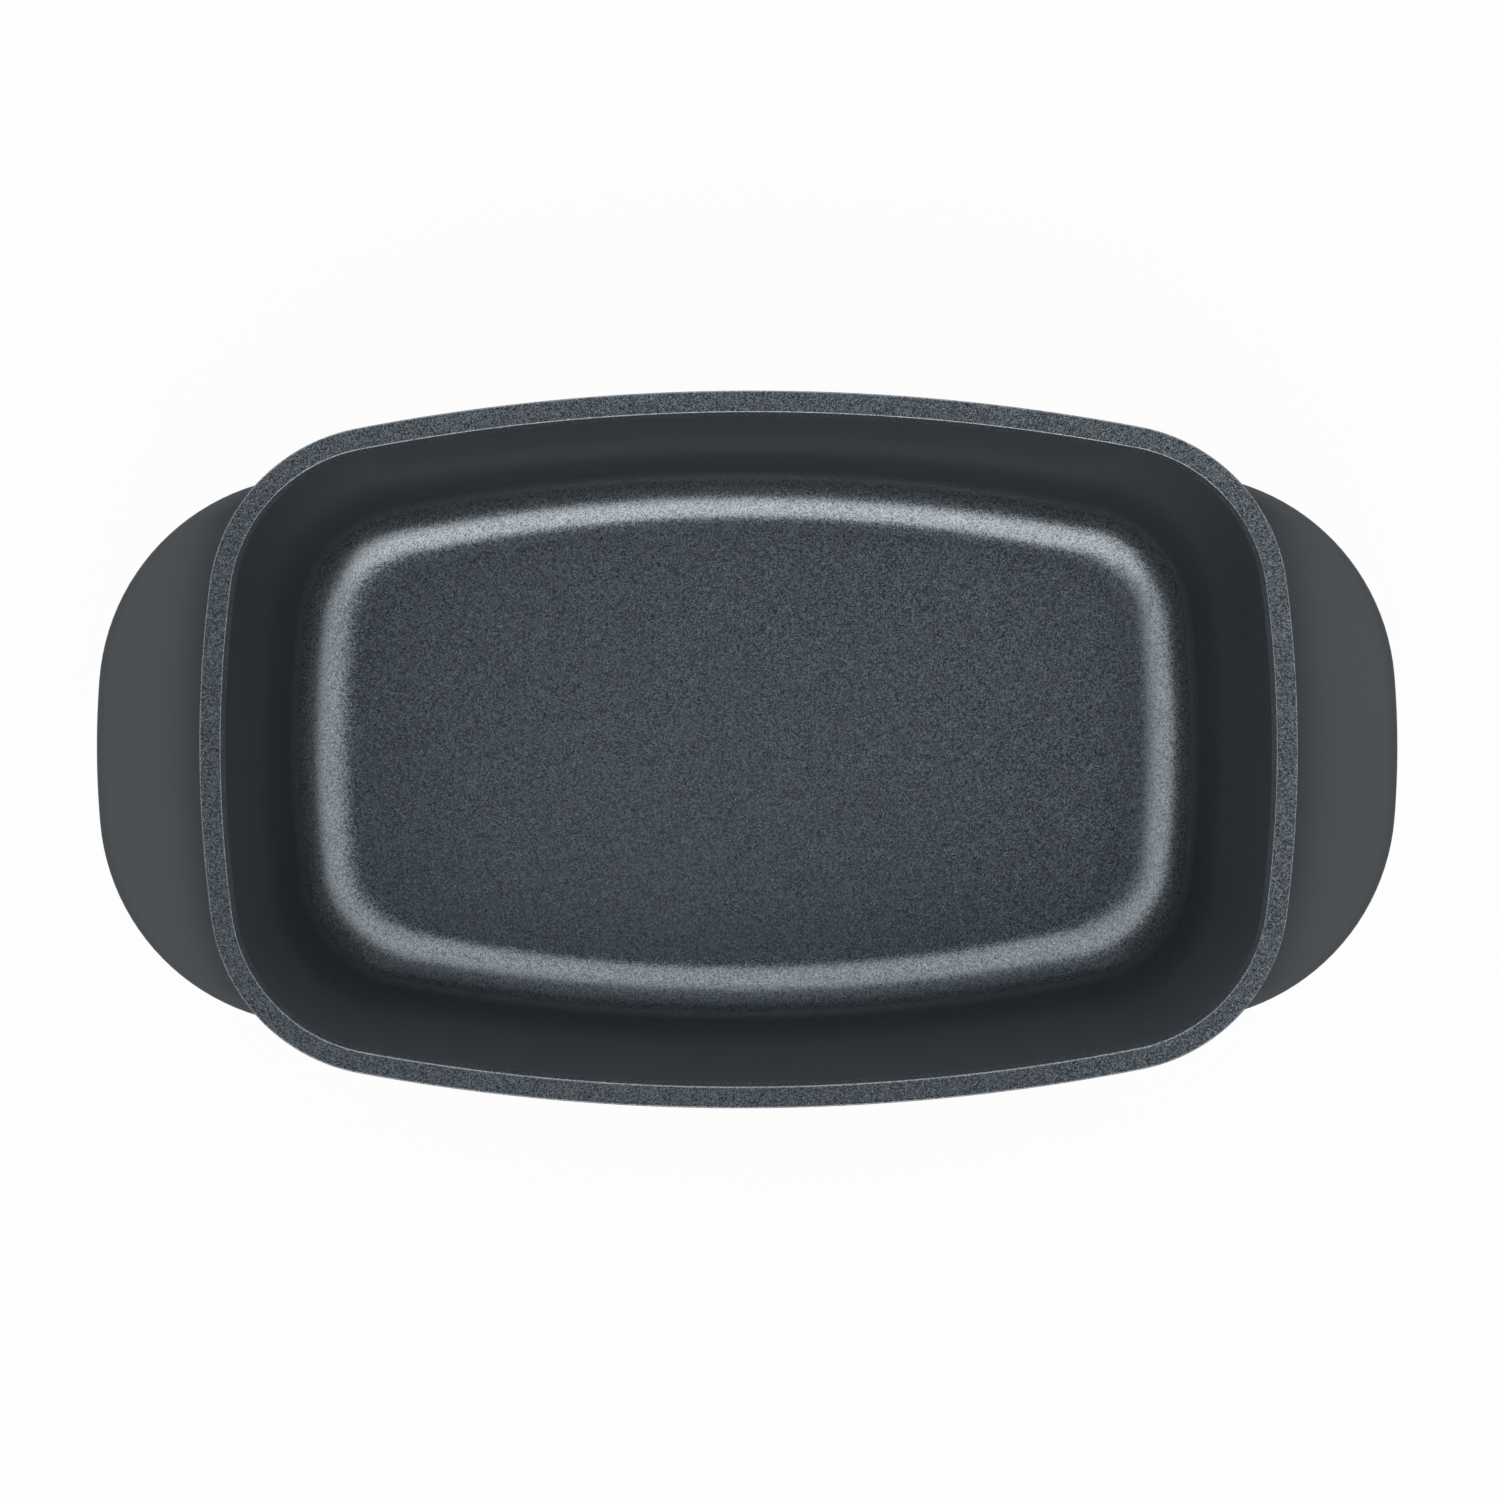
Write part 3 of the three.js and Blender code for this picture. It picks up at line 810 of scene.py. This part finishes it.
def stud_places(casting, plate):
    """Middles of the studs: staggered rows over the plate, clear of its edge."""
    margin = plate.stud_radius + plate.fit_gap + plate.stud_to_edge
    edge = pan_outline(casting, plate_inset(casting) + margin)
    row_pitch = plate.stud_pitch * sin(pi / 3)
    rows = ceil(casting.rim_width / 2 / row_pitch)
    columns = ceil(casting.rim_length / 2 / plate.stud_pitch)
    places = []
    for row in range(-rows, rows + 1):
        shift = row % 2 * plate.stud_pitch / 2
        for column in range(-columns, columns + 1):
            spot = Vector((column * plate.stud_pitch + shift, row * row_pitch))
            if is_inside(spot, edge):
                places.append(spot)
    return places


def stud_profile(plate):
    return rounded_profile([
        Corner(-plate.stud_radius, plate.thickness + plate.fit_gap, 0, BARE),
        Corner(-plate.stud_radius, 0, plate.edge_round, BARE),
        Corner(-plate.stud_radius / 2, 0, 0, BARE),
    ])


def lug_heights(grip):
    top = grip.top - grip.cover - grip.fit_gap
    return top, top - grip.lug_thickness


def lug_outline(casting, grip):
    """The right-hand lug from above: the grip's outline moved in, with its root inside the wall."""
    wall_middle = (inner_wall_inset(casting, grip.top) + outer_wall_inset(casting, grip.top)) / 2
    wall = pan_outline(casting, wall_middle)
    outline = grip_outline(grip, grip.lug_inset)
    root = [spot for spot in wall if is_inside(spot, outline)]
    root.sort(key=lambda spot: -spot.y)
    return [spot for spot in outline if not is_inside(spot, wall)] + root


def inside_length(casting, point):
    """Length of the inside against its outline. Near the floor, the cove runs out further at the ends."""
    depth = 1 - (point.height - casting.floor) / casting.cove_radius
    if point.finish != COAT or depth < 0:
        return 1.0
    return 1 - casting.end_run_out / (casting.rim_length / 2) * depth**RUN_OUT_POWER


def make_casting(settings):
    casting, grip, plate, finish = settings.casting, settings.grip, settings.plate, settings.finish
    draft = MeshDraft().add_loft(
        partial(pan_outline, casting),
        casting_profile(casting, plate),
        length_at=partial(inside_length, casting),
    )
    for spot in stud_places(casting, plate):
        draft.add_turned(spot, stud_profile(plate), STUD_SIDES)
    lug = lug_outline(casting, grip)
    lug_edge = slab_profile(0, *lug_heights(grip), LACQUER)
    for side in (1, -1):
        draft.add_loft(lambda inset: [side * spot for spot in lug], lug_edge)
    piece = draft.make("casting", speckled_coat(finish), outside_lacquer(finish), bare_casting(finish))
    hand_over(piece, "coated_casting", "pan_body")


# The steel plate

def make_plate(settings):
    casting, plate = settings.casting, settings.plate
    edge = plate_inset(casting)
    flat = edge + plate.stud_to_edge
    profile = rounded_profile([
        Corner(flat, plate.thickness),
        Corner(edge, plate.thickness, plate.edge_round),
        Corner(edge, 0, plate.edge_round),
        Corner(flat, 0),
    ])
    draft = MeshDraft().add_loft(partial(pan_outline, casting), profile)
    piece = draft.make("steel_plate", brushed_plate(settings.finish))
    hole = slab_profile(-plate.stud_radius - plate.fit_gap, 2 * plate.thickness, -plate.thickness)
    holes = MeshDraft()
    for spot in stud_places(casting, plate):
        holes.add_turned(spot, hole, STUD_SIDES)
    cut_away(piece, holes.make("stud_holes"))
    hand_over(piece, "plate_steel", "induction_plate")


# The grips

ENDS = {"right": 0.0, "left": pi}


def screw_places(grip, fixing):
    """Middles of the right-hand grip's two screws."""
    return [Vector((grip.tip - fixing.from_tip, side * fixing.spacing / 2)) for side in (1, -1)]


def grip_profile(grip):
    """Profile of a grip's edge, from its flat top over both rounds to the sloping underside."""
    low_edge = grip.top - grip.top_round - grip.side - grip.low_round
    slope = (low_edge - grip.bottom) / (grip.bevel - grip.low_round)
    return rounded_profile([
        Corner(grip.bevel, grip.top),
        Corner(0, grip.top, grip.top_round),
        Corner(0, low_edge + slope * grip.low_round, grip.low_round),
        Corner(grip.bevel, grip.bottom, grip.bevel_round),
        Corner(2 * grip.bevel, grip.bottom),
    ])


def pan_cutter(casting, grip):
    """The casting's outside with the gap around it, as a solid."""
    flat = plate_inset(casting)
    profile = rounded_profile([
        Corner(flat, casting.height), *outside_corners(casting, grip.fit_gap), Corner(flat, 0),
    ])
    return MeshDraft().add_loft(partial(pan_outline, casting), profile).make("pan_cutter")


def lug_cutter(grip):
    """The pocket that takes the lug."""
    top, bottom = lug_heights(grip)
    pocket = slab_profile(grip.lug_inset - grip.fit_gap, top + grip.fit_gap, bottom - grip.fit_gap)
    return MeshDraft().add_loft(partial(grip_outline, grip), pocket).make("lug_cutter")


def screw_cutter(grip, fixing):
    """Stepped holes: wide for a screw's head and washer, narrow for its shank."""
    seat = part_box("right_grip_washer_back")[1].z + fixing.gap
    below = grip.bottom - fixing.counterbore_radius
    narrow = -fixing.screw_radius - fixing.gap
    wide = -fixing.counterbore_radius
    draft = MeshDraft()
    for spot in screw_places(grip, fixing):
        draft.add_turned(spot, [
            ProfilePoint(narrow, lug_heights(grip)[1]), ProfilePoint(narrow, seat),
            ProfilePoint(wide, seat), ProfilePoint(wide, below),
        ])
    return draft.make("screw_cutter")


def make_grips(settings):
    casting, grip, fixing = settings.casting, settings.grip, settings.fixing
    moulding = matt_grip(settings.finish)
    for end, turn in ENDS.items():
        draft = MeshDraft().add_loft(partial(grip_outline, grip), grip_profile(grip))
        piece = draft.make(f"{end}_wing", moulding)
        cut_away(piece, pan_cutter(casting, grip), lug_cutter(grip), screw_cutter(grip, fixing))
        piece.data.transform(Matrix.Rotation(turn, 4, "Z"))
        round_creases(piece, grip.cut_round)
        hand_over(piece, "matt_grip", f"{end}_grip")


# Screws and washers

def screw_profile(fixing, low, high, seat):
    """A button-head screw that points up: its tip, shank, bearing face and domed head."""
    shank = -fixing.screw_radius
    head = -fixing.head_radius
    return rounded_profile([
        Corner(shank + 2 * fixing.screw_chamfer, high),
        Corner(shank + fixing.screw_chamfer, high),
        Corner(shank, high - fixing.screw_chamfer),
        Corner(shank, seat),
        Corner(head, seat, fixing.edge_round),
        Corner(head, seat - fixing.head_rim, fixing.head_rim),
        Corner(-fixing.head_flat, low, fixing.head_flat / 2),
        Corner(-fixing.socket / 2, low),
    ])


def washer_profile(fixing, low, high):
    """The closed profile of a washer, with its four edges rounded."""
    hole = -fixing.screw_radius - fixing.gap
    rim = -fixing.washer_radius
    middle = Corner(hole, (low + high) / 2)
    edges = [(hole, high), (rim, high), (rim, low), (hole, low)]
    corners = [Corner(*edge, fixing.edge_round) for edge in edges]
    return rounded_profile([middle, *corners, middle])[:-1]


def socket_cutter(fixing, spot, low):
    """The hexagon socket in a screw's head."""
    corner_radius = fixing.socket / 2 / cos(pi / HEXAGON)
    hollow = slab_profile(-corner_radius, low + fixing.socket_depth, low - fixing.socket_depth)
    return MeshDraft().add_turned(spot, hollow, HEXAGON).make("socket_cutter")


def make_fixings(settings):
    fixing = settings.fixing
    plating = plated_steel(settings.finish)
    for end, turn in ENDS.items():
        for spot in screw_places(settings.grip, fixing):
            spot = Matrix.Rotation(turn, 2) @ spot
            place = "back" if spot.y > 0 else "front"
            screw_node = f"{end}_grip_screw_{place}"
            washer_node = f"{end}_grip_washer_{place}"
            screw_low, screw_high = (corner.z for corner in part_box(screw_node))
            washer_low, washer_high = (corner.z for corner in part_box(washer_node))
            profile = screw_profile(fixing, screw_low, screw_high, washer_low)
            screw = MeshDraft().add_turned(spot, profile).make(f"{screw_node}_plated", plating)
            cut_away(screw, socket_cutter(fixing, spot, screw_low))
            hand_over(screw, "screw_steel", screw_node)
            profile = washer_profile(fixing, washer_low, washer_high)
            draft = MeshDraft().add_turned(spot, profile, closed=True)
            washer = draft.make(f"{washer_node}_plated", plating)
            hand_over(washer, "screw_steel", washer_node)


# The stage

WHITE = (1.0, 1.0, 1.0)
SHADED_WHITE = (0.9, 0.9, 0.9)

# Heights where the high sky starts and is full, from 0 at the horizon to 1 overhead
SKY_START, SKY_END = 0.41, 0.585

# Way to the bright back wall, and how far along it the wall starts and is full
BACK_WAY = (0.0, 1.0, -1.5)
BACK_START, BACK_END = 0.2, 0.5


def plain_sheet(name, width, depth, middle, material):
    """A flat rectangle."""
    corners = [(-1, -1), (1, -1), (1, 1), (-1, 1)]
    mesh = bpy.data.meshes.new(name)
    mesh.from_pydata([(x * width / 2, y * depth / 2, 0) for x, y in corners], [], [(0, 1, 2, 3)])
    mesh.materials.append(material)
    sheet = add_object(name, mesh)
    sheet.location = middle
    return sheet


def new_stage_material(name):
    """A material with only its output node."""
    material, tree, shader = new_material(name)
    tree.nodes.remove(shader)
    return material, tree, tree.nodes["Material Output"]


def plain_shader(tree, kind, rgb):
    return add_node(tree, kind, {"Color": scaled(rgb)}).outputs[0]


def mix_shaders(tree, amount, first, second):
    """From the first shader to the second, by an amount."""
    return add_node(tree, "MixShader", {0: amount, 1: first, 2: second}).outputs[0]


def white_floor(stage):
    """Pale floor that is seen as white with a faint shadow."""
    material, tree, outlet = new_stage_material("white_floor")
    pale = plain_shader(tree, "BsdfDiffuse", stage.floor_colour)
    shadowed = plain_shader(tree, "BsdfDiffuse", SHADED_WHITE)
    white = plain_shader(tree, "Emission", WHITE)
    shown = mix_shaders(tree, stage.floor_shadow, white, shadowed)
    path = add_node(tree, "LightPath").outputs
    direct = calculate(tree, "MAXIMUM", path["Is Camera Ray"], path["Is Glossy Ray"])
    direct = calculate(tree, "MAXIMUM", direct, path["Is Transmission Ray"])
    set_sockets(tree, outlet, {"Surface": mix_shaders(tree, direct, pale, shown)})
    return material


def fade(tree, distance, full, soft):
    """From 1 to 0 over a soft edge outside a full width."""
    return ramp(tree, calculate(tree, "ABSOLUTE", distance), full, full + soft, 1.0, 0.0)


def thin_patch(tree, stage):
    """Density of the cloth: 1, and less in the thin patch."""
    way = combine(tree, "SUBTRACT", object_place(tree), tuple(stage.patch_place))
    way = combine(tree, "DIVIDE", way, tuple(stage.patch_size))
    return between(tree, measure(tree, "LENGTH", way), 1.0 - stage.patch_clear, 1.0)


def dark_flag(stage):
    """Dark cloth with a faint blue glow, thinner at its edges."""
    material, tree, outlet = new_stage_material("dark_flag")
    place = add_node(tree, "SeparateXYZ", {"Vector": object_place(tree)}).outputs
    across = fade(tree, place["X"], stage.flag_half_x, stage.flag_soft_x)
    along = fade(tree, place["Y"], stage.flag_half_y, stage.flag_soft_y)
    whole = calculate(tree, "MULTIPLY", across, along)
    density = calculate(tree, "MULTIPLY", whole, thin_patch(tree, stage))
    clear = add_node(tree, "BsdfTransparent").outputs[0]
    dark = plain_shader(tree, "Emission", stage.flag_glow)
    set_sockets(tree, outlet, {"Surface": mix_shaders(tree, density, clear, dark)})
    return material


def place_surround(stage):
    """A surround with a bright top and a bright back wall. The camera sees it as white."""
    world = bpy.data.worlds.new("pale_surround")
    world.use_nodes = True
    tree = world.node_tree
    direction = add_node(tree, "TexCoord").outputs["Generated"]
    way = add_node(tree, "SeparateXYZ", {"Vector": direction}).outputs
    corner = calculate(tree, "ABSOLUTE", calculate(tree, "MULTIPLY", way["X"], way["Y"]))
    drop = calculate(tree, "MULTIPLY", corner, stage.sky_corner)
    height = calculate(tree, "SUBTRACT", measure(tree, "DOT_PRODUCT", direction, stage.sky_top), drop)
    backward = measure(tree, "DOT_PRODUCT", direction, BACK_WAY)
    low_sky = ramp(tree, backward, BACK_START, BACK_END, stage.sky_low, stage.sky_back)
    sky = ramp(tree, height, SKY_START, SKY_END, low_sky, stage.sky_high)
    seen = add_node(tree, "LightPath").outputs["Is Camera Ray"]
    shown = between(tree, seen, sky, 1.0)
    set_sockets(tree, tree.nodes["Background"], {"Color": scaled(WHITE), "Strength": shown})
    bpy.context.scene.world = world


def place_soft_box(stage):
    """A soft box in front, turned to the pan."""
    lamp = bpy.data.lights.new("soft_box", "AREA")
    lamp.shape = "RECTANGLE"
    lamp.size = stage.box_length
    lamp.size_y = stage.box_width
    lamp.energy = stage.box_power
    lamp.color = stage.box_colour
    box = add_object("soft_box", lamp)
    box.location = stage.box_place
    box.rotation_euler = (-Vector(stage.box_place)).to_track_quat("-Z", "Y").to_euler()


def place_flag(stage):
    """A dark flag overhead, which the floor of the pan reflects."""
    width = 2 * (stage.flag_half_x + stage.flag_soft_x)
    depth = 2 * (stage.flag_half_y + stage.flag_soft_y)
    flag = plain_sheet("dark_flag", width, depth, stage.flag_place, dark_flag(stage))
    flag.visible_camera = False


def place_camera(stage, target):
    """A camera above the target. The top of its picture is the pan's back."""
    spot = target + Vector((stage.camera_x, stage.camera_y, stage.camera_height))
    sight = target - spot
    across = sight.cross(Vector((0, 1, 0))).normalized()
    upward = across.cross(sight).normalized()
    aim = Matrix((across, upward, -sight.normalized())).transposed().to_4x4()
    lens = bpy.data.cameras.new("camera")
    lens.angle = 2 * atan(stage.frame_width / 2 / sight.length)
    camera = add_object("camera", lens)
    camera.matrix_world = Matrix.Translation(spot) @ aim @ Matrix.Rotation(stage.camera_roll, 4, "Z")
    bpy.context.scene.camera = camera


def make_stage(settings):
    stage = settings.stage
    below = (0, 0, -stage.floor_drop)
    plain_sheet("floor", stage.floor_size, stage.floor_size, below, white_floor(stage))
    place_surround(stage)
    place_soft_box(stage)
    place_flag(stage)
    place_camera(stage, Vector((0, 0, settings.casting.height)))
    bpy.context.scene.view_settings.view_transform = "Standard"


# Operators and panel

class Maker:
    """What the operators share: each makes something from the scene's settings."""

    def execute(self, context):
        self.make(context.scene.roasting_pan)
        return {"FINISHED"}


class PAN_OT_casting(Maker, Operator):
    """Make the cast pan with its coat, lugs and studs."""

    bl_idname = "pan.casting"
    bl_label = "Casting"
    make = staticmethod(make_casting)


class PAN_OT_plate(Maker, Operator):
    """Make the steel plate in the base."""

    bl_idname = "pan.plate"
    bl_label = "Steel plate"
    make = staticmethod(make_plate)


class PAN_OT_grips(Maker, Operator):
    """Make the two wing grips."""

    bl_idname = "pan.grips"
    bl_label = "Grips"
    make = staticmethod(make_grips)


class PAN_OT_fixings(Maker, Operator):
    """Make the screws and washers under the grips."""

    bl_idname = "pan.fixings"
    bl_label = "Screws and washers"
    make = staticmethod(make_fixings)


class PAN_OT_stage(Maker, Operator):
    """Make the floor, the lights and the camera."""

    bl_idname = "pan.stage"
    bl_label = "Stage"
    make = staticmethod(make_stage)


OPERATORS = [PAN_OT_casting, PAN_OT_plate, PAN_OT_grips, PAN_OT_fixings, PAN_OT_stage]


class PAN_PT_sidebar(Panel):
    """Buttons and sizes of the roasting pan."""

    bl_idname = "PAN_PT_sidebar"
    bl_label = "Roasting pan"
    bl_space_type = "VIEW_3D"
    bl_region_type = "UI"
    bl_category = "Roasting pan"

    def draw(self, context):
        settings = context.scene.roasting_pan
        for operator in OPERATORS:
            self.layout.operator(operator.bl_idname)
        for group in PanSettings.__annotations__:
            box = self.layout.box()
            box.label(text=settings.bl_rna.properties[group].name)
            values = getattr(settings, group)
            for name in values.__annotations__:
                box.prop(values, name)


CLASSES = [
    CastingSizes, GripSizes, FixingSizes, PlateSizes, FinishSettings, StageSettings, PanSettings,
    *OPERATORS, PAN_PT_sidebar,
]


def register():
    for part in CLASSES:
        bpy.utils.register_class(part)
    bpy.types.Scene.roasting_pan = group_of(PanSettings, "Roasting pan")


def unregister():
    del bpy.types.Scene.roasting_pan
    for part in reversed(CLASSES):
        bpy.utils.unregister_class(part)


def main():
    register()
    bpy.ops.pan.casting()
    bpy.ops.pan.plate()
    bpy.ops.pan.grips()
    bpy.ops.pan.fixings()
    bpy.ops.pan.stage()


if __name__ == "__main__":
    main()
